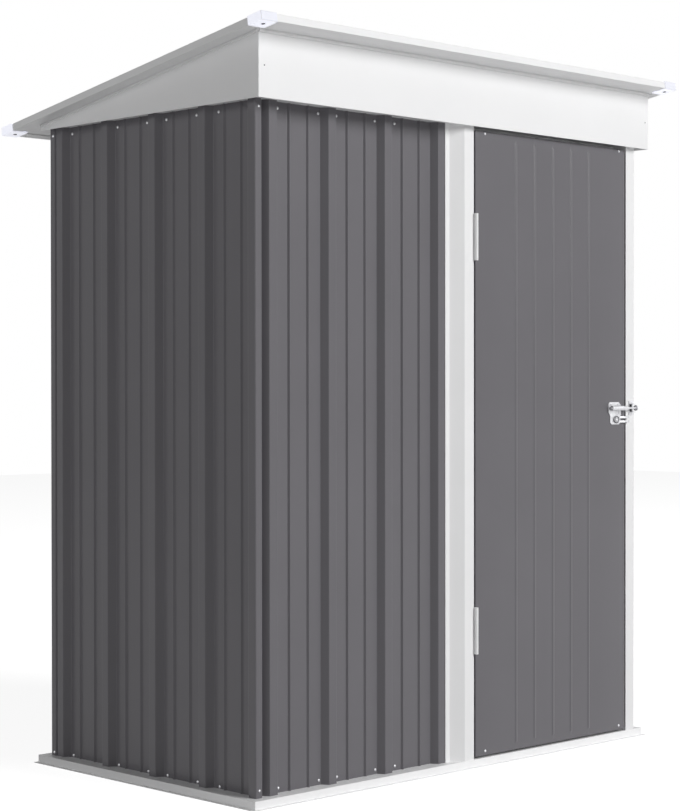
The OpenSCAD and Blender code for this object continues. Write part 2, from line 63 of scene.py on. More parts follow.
# %% Place the camera
camera = bpy.data.objects.new("camera", bpy.data.cameras.new("camera"))
bpy.context.scene.collection.objects.link(camera)
camera.location = (-3.7394, -3.8785, 0.9656)
camera.rotation_euler = (pi/2 - 0.0103, 0.0007, -0.7845)
camera.data.sensor_width = 36.0
camera.data.lens = 89.22
camera.data.shift_x = -0.0555
camera.data.shift_y = 0.0044
bpy.context.scene.camera = camera
print("camera stands", round(camera.location.length, 2), "m from the middle")

# %% [markdown]
# ## From a folded line to a piece
# Almost everything here is sheet metal, so one way of making serves for nearly all of it. A section is drawn as a
# line with sharp corners, each corner is bent to a radius, the line is given its thickness, and the closed section
# is carried along a straight edge. The alternative is a box with a bevel, but a section keeps the real folds.

# %% Bend the corners of a line
def bend(corners, radius, steps=5, closed=False):
    """Each corner P becomes the parabola (1-t)^2 A + 2t(1-t) P + t^2 C, where A and C are the
    points at which a bend of this radius leaves the two flats: radius times tan(half the turn) from P.
    One more point just inside each flat keeps the flats' shading flat."""
    P = np.asarray(corners, float)
    before, here, after = (np.roll(P, 1, 0), P, np.roll(P, -1, 0)) if closed else (P[:-2], P[1:-1], P[2:])
    long_in = np.linalg.norm(before - here, axis=1, keepdims=True)
    long_out = np.linalg.norm(after - here, axis=1, keepdims=True)
    go_in, go_out = (before - here)/long_in, (after - here)/long_out
    turn = np.arccos(np.clip(-(go_in*go_out).sum(1, keepdims=True), -1, 1))
    reach = np.minimum(radius*np.tan(turn/2), 0.46*np.minimum(long_in, long_out))
    A, C = here + go_in*reach, here + go_out*reach
    t = np.linspace(0, 1, steps + 1)[:, None, None]
    curve = (1 - t)**2*A + 2*t*(1 - t)*here + t*t*C
    flat_in = A + go_in*np.minimum(0.0005, 0.03*long_in)
    flat_out = C + go_out*np.minimum(0.0005, 0.03*long_out)
    curve = np.concatenate([flat_in[None], curve, flat_out[None]]).transpose(1, 0, 2).reshape(-1, 2)
    return curve if closed else np.vstack([P[:1], curve, P[-1:]])

# %% Give a line its thickness
def skin(line, thick):
    """The line, then the same line moved square to itself by the sheet's thickness, back to the start."""
    go = np.diff(line, axis=0)
    go = go/np.linalg.norm(go, axis=1, keepdims=True)
    side = np.stack([-go[:, 1], go[:, 0]], 1)
    m = np.vstack([side[:1], side]) + np.vstack([side, side[-1:]])
    inner = line + m*2*thick/(m*m).sum(1, keepdims=True)
    return np.vstack([line, inner[::-1]])

# %% Carry a section along an edge
def axis(*v):
    return np.array(v, float)

def carry(loop, origin, across, inward, along, start, end, mitre=(0, 0), sheet=True):
    """Point (p, q) of the section runs along the line origin + p across + q inward, from
    start + mitre[0] p to end - mitre[1] p. A sheet's ends close with a strip, a solid's with one face."""
    p, q = loop[:, :1], loop[:, 1:]
    flat = origin + p*across + q*inward
    points = np.concatenate([flat + (start + mitre[0]*p)*along, flat + (end - mitre[1]*p)*along])
    n = len(loop)
    i = np.arange(n)
    j = (i + 1) % n
    faces = np.stack([i, j, n + j, n + i], 1)
    if not sheet:
        return points, faces, [i[::-1], n + i]
    k = np.arange(n//2 - 1)
    lid = np.stack([k, k + 1, n - 2 - k, n - 1 - k], 1)
    return points, np.concatenate([faces, lid[:, ::-1], n + lid]), []

# %% Make a piece of one or more shells
def piece(name, shells, body, finish, stands_for=(), smooth=32):
    """Puts the shells' points and faces into one mesh. A closed shell's volume is the sum of
    a . (b x c)/6 over its triangles, and where that is negative every face is turned round."""
    objects = []
    for points, faces, ends in shells:
        mesh = bpy.data.meshes.new(name)
        mesh.from_pydata(points.reshape(-1, 3).tolist(), [], faces.tolist() + [list(map(int, e)) for e in ends])
        mesh.calc_loop_triangles()
        tri = np.zeros(len(mesh.loop_triangles)*3, np.int32)
        mesh.loop_triangles.foreach_get("vertices", tri)
        a, b, c = points.reshape(-1, 3)[tri].reshape(-1, 3, 3).transpose(1, 0, 2)
        if (a*np.cross(b, c)).sum() < 0:
            mesh.flip_normals()
        objects.append(bpy.data.objects.new(name, mesh))
        bpy.context.scene.collection.objects.link(objects[-1])
    made = objects[0]
    if len(objects) > 1:
        with bpy.context.temp_override(active_object=made, selected_editable_objects=objects):
            bpy.ops.object.join()
    made.data.shade_smooth()
    made.data.set_sharp_from_angle(angle=radians(smooth))
    made.data.materials.append(finish)
    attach(made, body)
    if stands_for:
        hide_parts(*stands_for)
    print(f"{name}: {len(made.data.polygons)} faces")
    return made

# %% [markdown]
# ## Paint, plating and plastic
# The walls are coil-coated steel: an even colour with a faint orange peel, a little cloudiness where the coat is
# thicker, and a satin gloss that changes slightly from place to place. A plain colour would look like card, so each
# finish reads noise at three sizes from the piece's own place in metres: clouds a hand wide, specks a few
# millimetres wide for the gloss, and a fine grain for the bump.

# %% Tools for finishes
def noise(tree, scale, detail):
    """Noise from the piece's own coordinates; scale is in bumps a metre."""
    place = tree.nodes.new("ShaderNodeTexCoord")
    made = tree.nodes.new("ShaderNodeTexNoise")
    made.inputs["Scale"].default_value = scale
    made.inputs["Detail"].default_value = detail
    tree.links.new(place.outputs["Object"], made.inputs["Vector"])
    return made.outputs["Fac"]

def spread(tree, value, low, high, start=0.3, stop=0.7):
    """Noise between start and stop becomes a value between low and high."""
    made = tree.nodes.new("ShaderNodeMapRange")
    for k, v in zip(("From Min", "From Max", "To Min", "To Max"), (start, stop, low, high)):
        made.inputs[k].default_value = v
    tree.links.new(value, made.inputs["Value"])
    return made.outputs["Result"]

def shade(tree, value, dark, light):
    """A colour between dark and light."""
    made = tree.nodes.new("ShaderNodeMix")
    made.data_type = "RGBA"
    made.inputs["A"].default_value = (*dark, 1)
    made.inputs["B"].default_value = (*light, 1)
    tree.links.new(value, made.inputs["Factor"])
    return made.outputs["Result"]

def finish(name, colour, cloud, rough, peel, metallic=0.0, cloud_scale=5.0, grain=700.0, gloss=0.5, painted_light=0.0):
    """Colour varies by plus or minus cloud, roughness between the two rough values, and peel is the
    bump's height in metres. The emission strength given last is painted light, which makes the surface brighter than
    the lamps do."""
    made = bpy.data.materials.new(name)
    made.use_nodes = True
    tree = made.node_tree
    shader = tree.nodes["Principled BSDF"]
    shader.inputs["Metallic"].default_value = metallic
    shader.inputs["Specular IOR Level"].default_value = gloss
    shader.inputs["Emission Color"].default_value = (*colour, 1)
    shader.inputs["Emission Strength"].default_value = painted_light
    clouds = spread(tree, noise(tree, cloud_scale, 4.0), 0, 1)
    dark, light = (tuple(min(1, c*(1 + s*cloud)) for c in colour) for s in (-1, 1))
    tree.links.new(shade(tree, clouds, dark, light), shader.inputs["Base Color"])
    tree.links.new(spread(tree, noise(tree, 90.0, 2.0), *rough), shader.inputs["Roughness"])
    bump = tree.nodes.new("ShaderNodeBump")
    bump.inputs["Distance"].default_value = peel
    bump.inputs["Strength"].default_value = 0.6
    tree.links.new(noise(tree, grain, 2.0), bump.inputs["Height"])
    tree.links.new(bump.outputs["Normal"], shader.inputs["Normal"])
    return made

# %% The finishes of this shed
grey_paint = finish("grey_wall_paint", (0.143, 0.138, 0.150), 0.025, (0.29, 0.33), 0.00002, gloss=0.28)
white_paint = finish("white_frame_paint", (0.86, 0.86, 0.865), 0.012, (0.36, 0.48), 0.00006)
# The base rails get a lighter copy of the frame's white: painted light that makes them brighter than the lamps alone
# would.
base_white_painted_light = finish("base_white_with_painted_light", (0.95, 0.95, 0.955), 0.012, (0.36, 0.48), 0.00006)
# Painted light: an emission that brightens the caps' side and under faces, standing in for light bounced up onto them
# from below.
CAP_PAINTED_LIGHT = 0.58
cap_plastic = finish("corner_cap_plastic", (0.86, 0.87, 0.95), 0.02, (0.40, 0.50), 0.00010, grain=1400.0,
                     painted_light=CAP_PAINTED_LIGHT)
bright_zinc = finish("bright_zinc_plating", (0.60, 0.60, 0.62), 0.16, (0.34, 0.52), 0.00012, metallic=0.85,
                     cloud_scale=90.0, grain=260.0)
screw_steel = finish("screw_head_steel", (0.60, 0.60, 0.62), 0.10, (0.30, 0.45), 0.00005, metallic=0.7,
                     cloud_scale=200.0)
dark_screw = finish("dark_screw_steel", (0.16, 0.16, 0.17), 0.10, (0.35, 0.5), 0.00005, metallic=0.6,
                    cloud_scale=200.0)
finish_of = {"grey_sheet": grey_paint, "white_steel": white_paint, "cap_plastic": cap_plastic, "zinc": bright_zinc}
slot_of = {s["node"]: s["material_slot"] for s in frame["record"]["subparts"]}
for name, part in node.items():
    part.data.materials.clear()
    part.data.materials.append(finish_of[slot_of[name]])
print("finishes:", len(bpy.data.materials))

# %% [markdown]
# ## The ribbed wall sheets
# A wall sheet is rolled between shaped rollers, which leave tall flat-topped ribs and two small beads in every pan
# between them. A displaced plane would smear the folds, so the sheet is drawn as the line of its section, bent to a
# real radius and carried up the wall. The sizes are those the frame was drawn to, but the beads are pressed a little
# deeper, since their bends round off some of their height.

# %% Sizes of the rolled sheet
SHEET, SEAT, FOLD = 0.0015, 0.00002, 0.0022
PITCH, DEPTH, TOP, RUN = 0.1887, 0.018, 0.024, 0.012
BEAD_GAP, BEAD_W, BEAD_TOP, BEAD_H = 0.060, 0.010, 0.002, 0.0050
DOOR_OUT = 0.0226
low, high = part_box("front_wall")
Y_FRONT, Z0, Z1 = low.y, low.z, high.z
X_LEFT, X_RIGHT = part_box("left_wall")[0].x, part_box("right_wall")[1].x
Y_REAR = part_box("back_wall_left")[1].y
WIDE, DEEP = X_RIGHT - X_LEFT, Y_REAR - Y_FRONT
print(f"walls {WIDE:.3f} by {DEEP:.3f} m, {Z0:.3f} to {Z1:.3f} m high")

# %% The section of a wall sheet
def raised(centre, top, run, foot, crest):
    """Four corners of a rib: up one slope, over the flat top and down the other slope."""
    return [[centre - top/2 - run, foot], [centre - top/2, crest],
            [centre + top/2, crest], [centre + top/2 + run, foot]]

def ribbed(first, start, end):
    """Corners of a sheet from start to end: a rib every PITCH from first, and beads BEAD_GAP apart between."""
    line = [[start, DEPTH]]
    for k in range(-1, 12):
        for step in (0, (PITCH - BEAD_GAP)/2, (PITCH + BEAD_GAP)/2):
            top, run, crest = (BEAD_TOP, (BEAD_W - BEAD_TOP)/2, DEPTH - BEAD_H) if step else (TOP, RUN, 0)
            c, half = first + k*PITCH + step, top/2 + run
            if c - half > start and c + half < end:
                line += raised(c, top, run, DEPTH, crest)
    return line + [[end, DEPTH]]

# %% Stand the sheets on the frame
UP = axis(0, 0, 1)
side_of = {"front": (axis(X_LEFT, Y_FRONT, 0), axis(1, 0, 0), axis(0, 1, 0)),
           "rear": (axis(X_RIGHT, Y_REAR, 0), axis(-1, 0, 0), axis(0, -1, 0)),
           "left": (axis(X_LEFT, Y_REAR, 0), axis(0, -1, 0), axis(1, 0, 0)),
           "right": (axis(X_RIGHT, Y_REAR, 0), axis(0, -1, 0), axis(-1, 0, 0))}

def upright(name, side, corners):
    """A folded strip: the corners, rounded and given the sheet's thickness, are carried straight up the wall."""
    section = skin(bend(corners, FOLD), SHEET)
    piece(name + "_rolled", [carry(section, *side_of[side], UP, Z0, Z1)], "shed", grey_paint, [name])

# The corner posts' flanges, and the places along each wall at which a sheet takes over from them
FRONT_FLANGE, SIDE_FLANGE, REAR_FLANGE, POST_LAP = 0.017, 0.024, 0.018, 0.004
FRONT_START = FRONT_FLANGE + RUN + 0.0005
SIDE_START = SIDE_FLANGE + RUN + POST_LAP
FRONT_FIRST, JAMB_LAP = 0.0552, 0.012
last_rib = FRONT_FIRST + 3*PITCH
upright("front_wall", "front", ribbed(FRONT_FIRST, FRONT_START, last_rib - TOP/2 - RUN)
        + [[last_rib - TOP/2, 0], [last_rib + TOP/2 + JAMB_LAP, 0]])
# A shallow groove, half post and half sheet, parts the rear posts from the first side rib
GROOVE_W = 0.0085
GROOVE_MID, GROOVE_DEEP = REAR_FLANGE + GROOVE_W/2, DEPTH*GROOVE_W/2/RUN
SIDE_FIRST = REAR_FLANGE + GROOVE_W + TOP/2
side_line = [[GROOVE_MID, GROOVE_DEEP], [SIDE_FIRST - TOP/2, 0], [SIDE_FIRST + TOP/2, 0]] \
    + ribbed(SIDE_FIRST, SIDE_FIRST + TOP/2 + RUN, DEEP - SIDE_START)
for side in ("left", "right"):
    upright(side + "_wall", side, side_line)
REAR_FIRST = (WIDE - 6*PITCH)/2
seam = WIDE/2 + TOP/2 + RUN + POST_LAP
upright("back_wall_right", "rear", ribbed(REAR_FIRST, SIDE_START, seam))
upright("back_wall_left", "rear", ribbed(REAR_FIRST, seam, WIDE - SIDE_START))

# %% [markdown]
# ## Corner posts, jamb and door post
# These are folded on a press brake from strip, so they are one line too. The grey corners carry the wall's pattern
# round the shed. The white jamb lies on the last rib and steps forward beside the door. The white post beyond the
# door has its real shape already, and only its edges are softened further down.

# %% Fold the posts
corner_left = [[DEPTH, SIDE_START], [DEPTH, SIDE_FLANGE + RUN], [0, SIDE_FLANGE], [0, 0], [FRONT_FLANGE, 0],
               [FRONT_FLANGE + RUN, DEPTH], [FRONT_START, DEPTH]]
piece("corner_post_front_left_folded", [carry(skin(bend(corner_left, FOLD), -SHEET),
      axis(X_LEFT, Y_FRONT, 0), axis(1, 0, 0), axis(0, 1, 0), UP, Z0, Z1)],
      "shed", grey_paint, ["corner_post_front_left"])
corner_rear = [[GROOVE_DEEP, GROOVE_MID], [0, REAR_FLANGE], [0, 0], [SIDE_FLANGE, 0], [SIDE_FLANGE + RUN, DEPTH],
               [SIDE_START, DEPTH]]
for side, x, out in (("left", X_LEFT, 1), ("right", X_RIGHT, -1)):
    piece(f"corner_post_rear_{side}_folded", [carry(skin(bend(corner_rear, FOLD), SHEET),
          axis(x, Y_REAR, 0), axis(out, 0, 0), axis(0, -1, 0), UP, Z0, Z1)],
          "shed", grey_paint, [f"corner_post_rear_{side}"])

# %% Fold the jamb
jamb_low, jamb_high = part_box("door_jamb")
JAMB_FLANGE, JAMB_FACE, JAMB_FOLD = 0.015, 0.0352, 0.0025
on_rib = -SHEET - SEAT
jamb_line = [[jamb_low.x, on_rib], [jamb_low.x + JAMB_FLANGE, on_rib], [jamb_high.x - JAMB_FACE, -DOOR_OUT],
             [jamb_high.x, -DOOR_OUT], [jamb_high.x, DEPTH]]
piece("door_jamb_folded", [carry(skin(bend(jamb_line, JAMB_FOLD), SHEET), axis(0, Y_FRONT, 0), axis(1, 0, 0),
      axis(0, 1, 0), UP, Z0, Z1)], "shed", white_paint, ["door_jamb"])

# %% [markdown]
# ## The frame on the ground
# Each base rail is one folded strip: a lip on the ground, a face, a ledge that the walls stand on and an upstand
# behind them. Its ends are mitred, so the far end of every point depends on how far in it lies.

# %% Carry the base rails round
BASE_T, FACE, BACK, LEDGE, UPSTAND, FOOT = 0.002, -0.024, 0.0195, 0.021, 0.050, 0.008
base_section = bend([[FACE - FOOT, 0], [FACE - FOOT, BASE_T], [FACE, BASE_T], [FACE, LEDGE], [BACK, LEDGE],
                     [BACK, UPSTAND], [BACK + BASE_T, UPSTAND], [BACK + BASE_T, BASE_T],
                     [BACK + BASE_T + FOOT, BASE_T], [BACK + BASE_T + FOOT, 0], [BACK, 0], [BACK, LEDGE - BASE_T],
                     [FACE + BASE_T, LEDGE - BASE_T], [FACE + BASE_T, 0]], 0.0012, 3, closed=True)
# The rails wear the lightened white, so part of their brightness is painted light.
for side, long in (("front", WIDE), ("rear", WIDE), ("left", DEEP), ("right", DEEP)):
    origin, along, inward = side_of[side]
    piece(f"base_{side}_rail_folded", [carry(base_section, origin, inward, UP, along, 0, long, (1, 1), False)],
          "shed", base_white_painted_light, [f"base_{side}_rail"])

# %% [markdown]
# ## The fascia and the gables
# A white plate closes the space between the walls and the roof. Its lower edge hangs just below the wall tops, and
# a rolled lip runs along its upper edge, where the roof sheets are screwed down.

# %% The slope of the roof
FALL = radians(9.48)
ROOF_Y0, UNDER0 = -0.506685, 1.79140
roof_y, roof_z = axis(0, cos(FALL), -sin(FALL)), axis(0, sin(FALL), cos(FALL))
def under(y):
    """Height that carries the roof sheets at a place along y: a straight line that falls to the rear."""
    return UNDER0 - SEAT - (y - ROOF_Y0)*tan(FALL)
LIP, LIP_OUT, GABLE = 0.0065, 0.005, 0.0273
fascia_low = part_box("front_fascia")[0]
face_y, face_z = fascia_low.y + LIP_OUT, fascia_low.z
print("under the roof at the fascia:", round(under(face_y), 4))

# %% Fascia: plate with its lip, flange and soffit
def rail_x(corners, half, radius=0.001):
    """A closed section in y and z, run across the shed."""
    loop = bend(corners, radius, 3, closed=True)
    return carry(loop, axis(0, 0, 0), axis(0, 1, 0), UP, axis(1, 0, 0), -half, half, sheet=False)
SOFFIT_IN, TOP_FLANGE, CLEAR = 0.0445, 0.025, 0.0002
half = WIDE/2 + GABLE
plate = [[face_y, face_z], [face_y, under(face_y) - LIP], [face_y - LIP_OUT, under(face_y) - LIP],
         [face_y - LIP_OUT, under(face_y - LIP_OUT)], [face_y + SHEET, under(face_y + SHEET)], [face_y + SHEET, face_z]]
soffit_y, inner_y, flange_y = Y_FRONT + SOFFIT_IN, face_y + CLEAR, face_y + TOP_FLANGE
shelf = [[inner_y, Z1], [soffit_y, Z1], [soffit_y, Z1 + SHEET], [inner_y, Z1 + SHEET]]
flange = [[inner_y, under(face_y) - SHEET], [inner_y, under(face_y)], [flange_y, under(flange_y)],
          [flange_y, under(flange_y) - SHEET]]
inside = [rail_x(line, half - SHEET, 0.0003) for line in (shelf, flange)]
piece("front_fascia_folded", [rail_x(plate, half)] + inside, "shed", white_paint, ["front_fascia"])

# %% Gables: a tapering plate, a lip down the slope and a soffit
y0 = face_y + SHEET
outline = bend([[y0, under(y0)], [Y_REAR, under(Y_REAR)], [Y_REAR, face_z], [y0, face_z]], 0.001, 3, closed=True)
lip = bend([[-LIP_OUT, 0], [SHEET, 0], [SHEET, -LIP], [-LIP_OUT, -LIP]], 0.001, 3, closed=True)
lip_start, lip_end = (y0 - ROOF_Y0)/cos(FALL), (Y_REAR - ROOF_Y0)/cos(FALL)
shelf = bend([[soffit_y, Z1], [Y_REAR, Z1], [Y_REAR, Z1 + SHEET], [soffit_y, Z1 + SHEET]], 0.0003, 2, closed=True)
for side, s in (("left", -1), ("right", 1)):
    inward = axis(-s, 0, 0)
    wedge, board = (carry(loop, axis(0, 0, 0), axis(0, 1, 0), UP, inward, start, end, sheet=False)
                    for loop, start, end in ((outline, -half, -half + SHEET),
                                             (shelf, -half + CLEAR, -WIDE/2 + SOFFIT_IN)))
    roll = carry(lip, axis(s*half, ROOF_Y0, UNDER0 - SEAT), inward, UP, roof_y, lip_start, lip_end, sheet=False)
    piece(f"gable_{side}_folded", [wedge, roll, board], "shed", white_paint, [f"gable_{side}"])

# %% [markdown]
# ## The roof
# Two sheets with low ribs, flat below, lie on the fascia and the rear rail. Trim closes their edges all round.
# Everything on the roof is drawn flat and carried in the roof's own tilted directions.

# %% Roof sheets
ROOF_W, ROOF_L = 1.5216, 1.0109/cos(FALL)
TRIM_H, FLANGE = 0.018, 0.030
ROOF_RIBS, ROOF_RIB_H = 8, 0.009
ROOF_PITCH = (ROOF_W - 2*FLANGE)/ROOF_RIBS
def roof_line(start, end):
    """A roof sheet's line from start to end, with the low ribs that stand between them."""
    line = [[start, 0]]
    for k in range(ROOF_RIBS):
        c = (k - (ROOF_RIBS - 1)/2)*ROOF_PITCH
        if start < c < end:
            line += raised(c, TOP, RUN/2, 0, -ROOF_RIB_H)
    return line + [[end, 0]]
edge = ROOF_W/2 - SHEET - SEAT
for side, start, end in (("left", -edge, 0), ("right", 0, edge)):
    section = np.vstack([bend(roof_line(start, end), 0.002), [[end, SHEET], [start, SHEET]]])
    sheet_top = axis(0, ROOF_Y0, UNDER0) + SHEET*roof_z
    panel = carry(section, sheet_top, axis(1, 0, 0), -roof_z, roof_y, SHEET + SEAT, ROOF_L - SHEET - SEAT, sheet=False)
    piece(f"roof_panel_{side}_rolled", [panel], "shed", white_paint, [f"roof_panel_{side}"])

# %% Roof trim
t0, t1 = -SHEET, TRIM_H - SHEET
trim = bend([[0, t0], [0, t1], [FLANGE/2, t1], [FLANGE/2, t1 - SHEET], [SHEET, t1 - SHEET], [SHEET, -SEAT],
             [FLANGE, -SEAT], [FLANGE, t0]], 0.0012, 4, closed=True)
eave_left, eave_right = (axis(x, ROOF_Y0, UNDER0) for x in (-ROOF_W/2, ROOF_W/2))
edges = {"front": (eave_left, roof_y, axis(1, 0, 0), ROOF_W),
         "rear": (eave_left + ROOF_L*roof_y, -roof_y, axis(1, 0, 0), ROOF_W),
         "left": (eave_left, axis(1, 0, 0), roof_y, ROOF_L),
         "right": (eave_right, axis(-1, 0, 0), roof_y, ROOF_L)}
for side, (origin, inward, along, long) in edges.items():
    piece(f"roof_trim_{side}_folded", [carry(trim, origin, inward, roof_z, along, 0, long, (1, 1), False)],
          "shed", white_paint, [f"roof_trim_{side}"])

# %% [markdown]
# ## Parts that only need softer edges
# The corner caps, the latch and the post beside the latch have the right shape already, but their edges are razor
# sharp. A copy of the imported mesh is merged, its flat faces are joined up, and a bevel rounds the edges that turn.
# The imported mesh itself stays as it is.

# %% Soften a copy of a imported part
def softened(name, width, body, steps=2):
    """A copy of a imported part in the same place, its edges rounded to this width."""
    mesh = node[name].data.copy()
    work = bmesh.new()
    work.from_mesh(mesh)
    bmesh.ops.remove_doubles(work, verts=work.verts, dist=1e-6)
    bmesh.ops.dissolve_limit(work, angle_limit=radians(0.5), verts=work.verts, edges=work.edges)
    work.to_mesh(mesh)
    work.free()
    made = bpy.data.objects.new(name + "_soft", mesh)
    bpy.context.scene.collection.objects.link(made)
    mesh.materials.clear()
    mesh.materials.append(finish_of[slot_of[name]])
    mesh.shade_smooth()
    mesh.set_sharp_from_angle(angle=radians(40))
    round_over = made.modifiers.new("rounded_edges", "BEVEL")
    round_over.width, round_over.segments = width, steps
    round_over.limit_method, round_over.angle_limit = "ANGLE", radians(30)
    round_over.harden_normals = True
    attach(made, body)
    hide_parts(name)
    print(f"{made.name}: {len(mesh.polygons)} faces before the bevel")

CAP_CORNERS = ("front_left", "front_right", "rear_left", "rear_right")
for corner in CAP_CORNERS:
    softened("roof_cap_" + corner, 0.0009, "shed", 3)
softened("latch_plate", 0.0005, "door")
softened("latch_keeper", 0.0004, "shed")
softened("latch_bolt", 0.0008, "bolt", 3)
softened("door_corner_post", 0.0007, "shed")

# %% Paint light onto the caps' side and under faces
# The front faces are lit outright by the lamps, so the painted light starts just behind them. Distances run along the
# roof's slope.
CAP_SIDE, PAINTED_LIGHT_FROM, PAINTED_LIGHT_FULL = 0.046, 0.0006, 0.0012
cap_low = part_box("roof_cap_front_left")[0]
front_face = axis(0, cap_low.y, cap_low.z + CAP_SIDE*sin(FALL)) @ roof_y
tree = cap_plastic.node_tree
depth = tree.nodes.new("ShaderNodeVectorMath")
depth.operation = "DOT_PRODUCT"
depth.inputs[1].default_value = roof_y
tree.links.new(tree.nodes.new("ShaderNodeTexCoord").outputs["Object"], depth.inputs[0])
painted_light = spread(tree, depth.outputs["Value"], 0.0, CAP_PAINTED_LIGHT, front_face + PAINTED_LIGHT_FROM, front_face + PAINTED_LIGHT_FULL)
tree.links.new(painted_light, tree.nodes["Principled BSDF"].inputs["Emission Strength"])
print("the caps glow from", round(front_face, 4), "m along the slope, measured from the origin")

# %% [markdown]
# ## The latch's flap and staple
# A flat flap hangs from the bolt's barrel and a staple lies before it, where a padlock goes. The flap is an outline
# carried through its thickness. The staple is a bent wire, so it is a small circle carried round an oval. The screws
# that hold the plate come with all the others further down.

# %% Bend the staple and cut the flap
LATCH_T, FLAP_T, FLAP_OUT = 0.002, 0.0014, 0.0012
plate_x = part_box("latch_plate")[0].x
PLATE_Y = Y_FRONT - DOOR_OUT - LATCH_T
BOLT_Z = sum(v.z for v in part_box("latch_bolt"))/2
def wire(centre, wide, tall, thick, around=10, along=36):
    """A closed ring of round wire: the point at angles (u, v) is centre + (wide + thick cos v) cos u along x
    + (tall + thick cos v) sin u upwards + thick sin v square to the plate."""
    u, v = np.meshgrid(*(np.linspace(0, 2*pi, n, endpoint=False) for n in (along, around)), indexing="ij")
    out = thick*np.cos(v)
    points = centre + np.stack([(wide + out)*np.cos(u), thick*np.sin(v), (tall + out)*np.sin(u)], -1)
    index = np.arange(along*around).reshape(along, around)
    on = np.roll(index, -1, 0)
    faces = np.stack([index, np.roll(index, -1, 1), np.roll(on, -1, 1), on], -1).reshape(-1, 4)
    return points.reshape(-1, 3), faces, []

def plate_of(corners, radius, y, thick):
    """A flat outline in x and z with rounded corners, carried back from y by its thickness."""
    loop = bend(corners, radius, 4, closed=True)
    return carry(loop, axis(0, 0, 0), axis(1, 0, 0), UP, axis(0, 1, 0), y, y + thick, sheet=False)

ring = axis(plate_x + 0.033, PLATE_Y - FLAP_OUT, BOLT_Z - 0.0315)
flap = [[plate_x + 0.0445, BOLT_Z - 0.003], [plate_x + 0.0435, BOLT_Z - 0.014], [plate_x + 0.0320, BOLT_Z - 0.0225],
        [plate_x + 0.0320, BOLT_Z - 0.0415], [plate_x + 0.0485, BOLT_Z - 0.0415], [plate_x + 0.0485, BOLT_Z - 0.012],
        [plate_x + 0.0515, BOLT_Z - 0.008], [plate_x + 0.0515, BOLT_Z - 0.003]]
piece("latch_flap", [plate_of(flap, 0.0012, PLATE_Y - FLAP_OUT, FLAP_T)], "door", bright_zinc)
piece("latch_staple", [wire(ring, 0.0105, 0.0085, 0.0019)], "door", dark_screw)

# %% [markdown]
# ## The door
# The door is a shallow tray: one flat skin with its four edges folded to the rear, and five long beads pressed into
# it. The beads end in a smooth run-out, as a press leaves them, so the skin is a height worked out over a grid.

# %% Door skin as a height over a grid
door_low, door_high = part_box("door_panel")
DOOR_Y = Y_FRONT - DOOR_OUT
door_x, door_z = (door_low.x, door_high.x), (door_low.z, door_high.z)
door_mid = sum(door_x)/2
BEADS, BEAD_PITCH, BEAD_HALF, BEAD_OUT = 5, 0.074, 0.0052, 0.0019
BEAD_END, RUN_OUT, DOOR_DEEP = 0.0185, 0.005, 0.0200
bead_x = door_mid + (np.arange(BEADS) - (BEADS - 1)/2)*BEAD_PITCH
def door_height(x, z):
    """How far the skin stands out: for each bead a rounded ridge 1 - (distance/half width)^2, raised to a
    soft shoulder, times a run-out at both ends that is a quarter of a sine."""
    near = np.abs(x[..., None] - bead_x).min(-1)/BEAD_HALF
    ridge = np.clip(1 - near**2, 0, 1)**1.2
    ends = np.clip((np.minimum(z - door_z[0], door_z[1] - z) - BEAD_END)/RUN_OUT, 0, 1)
    return BEAD_OUT*ridge*np.sin(ends*pi/2)

# Grid lines stand close together only where the height changes
across_bead = BEAD_HALF*np.concatenate([[-1.08], np.linspace(-1, 1, 15), [1.08]])
down_end = BEAD_END + np.linspace(0, RUN_OUT, 6)
xs = np.unique(np.concatenate([np.linspace(door_x[0] + FOLD, door_x[1] - FOLD, 7),
                               (bead_x[:, None] + across_bead).ravel()]))
zs = np.unique(np.concatenate([np.linspace(door_z[0] + FOLD, door_z[1] - FOLD, 3),
                               door_z[0] + down_end, door_z[1] - down_end]))
gx, gz = np.meshgrid(xs, zs, indexing="ij")
skin_points = np.stack([gx, DOOR_Y - door_height(gx, gz), gz], -1)
print("door skin grid", gx.shape)

# %% Fold the door's edges back
nx, nz = gx.shape
index = np.arange(nx*nz).reshape(nx, nz)
quads = np.stack([index[:-1, :-1], index[1:, :-1], index[1:, 1:], index[:-1, 1:]], -1).reshape(-1, 4)
rim = np.concatenate([index[:-1, 0], index[-1, :-1], index[:0:-1, -1], index[0, :0:-1]])
rim_xz = np.stack([gx.ravel()[rim], gz.ravel()[rim]], 1)
# push is -1, 0 or 1 in x and z: the way in which each point of the rim moves out as the edge folds back
low_rim, high_rim = (np.array([door_x[i], door_z[i]]) for i in (0, 1))
push = (rim_xz > high_rim - FOLD - 1e-6)*1.0 - (rim_xz < low_rim + FOLD + 1e-6)
turns = np.linspace(0, pi/2, 6)[1:]
fold = np.concatenate([np.stack([FOLD*np.sin(turns), FOLD - FOLD*np.cos(turns)], 1), [[FOLD, DOOR_DEEP]]])
rings = [np.insert(rim_xz + push*out, 1, DOOR_Y + deep, axis=1) for out, deep in fold]
door_points = np.concatenate([skin_points.reshape(-1, 3)] + rings)
m = len(rim)
ring_index = np.stack([rim] + [nx*nz + k*m + np.arange(m) for k in range(len(fold))])
a, b = ring_index[:-1], ring_index[1:]
walls = np.stack([a, b, np.roll(b, -1, 1), np.roll(a, -1, 1)], -1).reshape(-1, 4)
door = piece("door_panel_pressed", [(door_points, np.concatenate([quads, walls]), [])], "door", grey_paint,
             ["door_panel"])
thick = door.modifiers.new("sheet", "SOLIDIFY")
thick.thickness, thick.offset = SHEET, -1
print("door", round(door_x[1] - door_x[0], 4), "by", round(door_z[1] - door_z[0], 4), "m")

# %% [markdown]
# ## Screws
# Dozens of small pan-head screws hold the sheets. Each is a turned shape, so it is a radius and a height as
# functions of one parameter, spun round the screw's own axis, and all screws of one wall are one piece.

